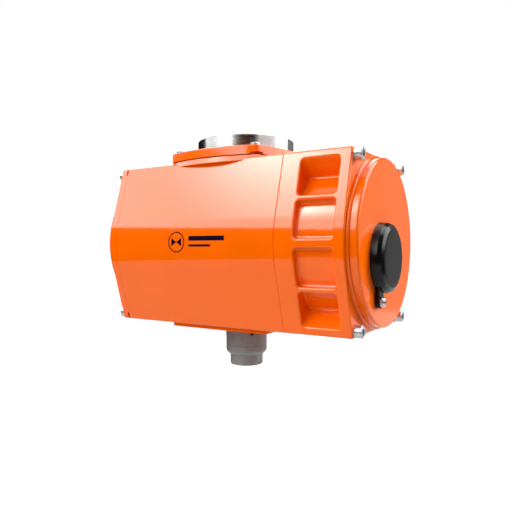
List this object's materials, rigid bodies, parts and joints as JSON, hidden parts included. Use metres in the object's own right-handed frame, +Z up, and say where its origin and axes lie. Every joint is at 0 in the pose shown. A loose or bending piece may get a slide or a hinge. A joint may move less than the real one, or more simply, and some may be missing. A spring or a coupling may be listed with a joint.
{
  "type": "motorized valve actuator",
  "caption": "Quarter-turn electric valve actuator: ribbed orange cast body, worm drive, steel-ringed position window, keyed drive sleeve below and swing-aside hand-drive cap.",
  "frame": {"origin": "centre of the valve flange face on the output axis", "axes": "+Z up along the output axis, +X along the barrel towards the hand-drive cap, -Y the front"},
  "size_m": [0.2605, 0.1678, 0.2111],
  "materials": {
    "orange_paint": "gloss powder coat on die-cast aluminium, slight orange peel",
    "bright_steel": "bright stainless steel",
    "brushed_ring": "stainless steel, brushed round the ring",
    "cast_grey": "matt as-cast with turned lands",
    "black_plastic": "satin black moulded plastic",
    "window": "clear toughened glass",
    "dial_white": "printed matt dial",
    "pointer_red": "red moulded plastic",
    "rubber_black": "nitrile rubber",
    "bronze": "machined bronze",
    "machined_steel": "ground and hobbed steel",
    "plate_aluminium": "bare sheet aluminium",
    "board_green": "solder-masked circuit board",
    "terminal_grey": "moulded terminal plastic",
    "relay_blue": "moulded relay case",
    "capacitor_white": "glossy sleeve",
    "nickel_brass": "nickel-plated brass",
    "motor_paint": "dark enamelled motor can"
  },
  "bodies": {
    "actuator_body": {"housing": "orange_paint", "end_cap": "orange_paint", "rear_cover": "orange_paint", "top_cover": "orange_paint", "cover_o_rings": "rubber_black", "top_gasket": "rubber_black", "bezel_ring": "brushed_ring", "window_seal": "rubber_black", "window_glass": "window", "dial_plate": "dial_white", "output_lower_bush": "bronze", "output_seal": "rubber_black", "output_upper_bush": "bronze", "worm_bearings": "machined_steel", "hand_shaft_bushes": "bronze", "hand_shaft_seal": "rubber_black", "motor_housing": "motor_paint", "motor_screws": "bright_steel", "gear_plate": "plate_aluminium", "deck_plate": "plate_aluminium", "potentiometer": "black_plastic", "limit_switches": "black_plastic", "switch_bracket": "plate_aluminium", "circuit_board": "board_green", "board_standoffs": "nickel_brass", "terminal_block": "terminal_grey", "control_relays": "relay_blue", "heater": "plate_aluminium", "motor_capacitor": "capacitor_white", "capacitor_clamp": "bright_steel", "hand_cap_screw": "bright_steel", "end_cap_screws": "bright_steel", "end_cap_washers": "bright_steel", "rear_cover_screws": "bright_steel", "top_cover_screws": "bright_steel", "inner_screws": "bright_steel", "stop_screws": "bright_steel", "stop_lock_nuts": "bright_steel", "cable_gland_bodies": "nickel_brass", "cable_gland_nuts": "nickel_brass", "cable_gland_seals": "rubber_black", "earth_screw": "bright_steel"},
    "output_drive": {"output_shaft": "machined_steel", "worm_wheel": "bronze", "wheel_key": "machined_steel", "drive_sleeve": "cast_grey", "sleeve_set_screw": "machined_steel", "stop_plate": "machined_steel", "switch_cams": "dial_white", "feedback_gear": "dial_white", "position_pointer": "pointer_red"},
    "worm": {"worm_shaft": "machined_steel", "worm_shaft_gear": "machined_steel"},
    "hand_drive": {"hand_shaft": "machined_steel", "hand_shaft_gears": "machined_steel"},
    "motor_rotor": {"motor_shaft": "machined_steel"},
    "feedback_spindle": {"potentiometer_spindle": "dial_white"},
    "hand_cap": {"hand_drive_cap": "black_plastic"},
    "open_plunger": {"open_switch_plunger": "pointer_red"},
    "closed_plunger": {"closed_switch_plunger": "pointer_red"}
  },
  "joints": [
    {"name": "output_turn", "type": "hinge", "parent": "actuator_body", "child": "output_drive", "pos_m": [0, 0, 0.064], "axis": [0, 0, 1], "range_deg": [0, 90]},
    {"name": "worm_spin", "type": "hinge", "parent": "actuator_body", "child": "worm", "pos_m": [0, -0.044, 0.064], "axis": [1, 0, 0], "range_deg": [-3061, 1]},
    {"name": "hand_drive_spin", "type": "hinge", "parent": "actuator_body", "child": "hand_drive", "pos_m": [0.05, -0.017, 0.064], "axis": [1, 0, 0], "range_deg": [-1, 4452]},
    {"name": "motor_spin", "type": "hinge", "parent": "actuator_body", "child": "motor_rotor", "pos_m": [0.09, 0.02035, 0.071], "axis": [1, 0, 0], "range_deg": [-16692, 1]},
    {"name": "feedback_spin", "type": "hinge", "parent": "actuator_body", "child": "feedback_spindle", "pos_m": [0.032, 0, 0.106], "axis": [0, 0, 1], "range_deg": [-271, 1]},
    {"name": "hand_cap_swing", "type": "hinge", "parent": "actuator_body", "child": "hand_cap", "pos_m": [0.14, -0.0285, 0.03], "axis": [1, 0, 0], "range_deg": [-110, 110]},
    {"name": "open_switch_press", "type": "slide", "parent": "actuator_body", "child": "open_plunger", "axis": [0, 1, 0], "range_m": [0, 0.0008], "stiffness_N_per_m": 400, "springref_m": -0.0005},
    {"name": "closed_switch_press", "type": "slide", "parent": "actuator_body", "child": "closed_plunger", "axis": [0, 1, 0], "range_m": [0, 0.0008], "stiffness_N_per_m": 400, "springref_m": -0.0005}
  ],
  "couplings": [
    {"joint": "worm_spin", "follows": "output_turn", "ratio": -34},
    {"joint": "hand_drive_spin", "follows": "output_turn", "ratio": 49.455},
    {"joint": "motor_spin", "follows": "output_turn", "ratio": -185.45},
    {"joint": "feedback_spin", "follows": "output_turn", "ratio": -3}
  ]
}
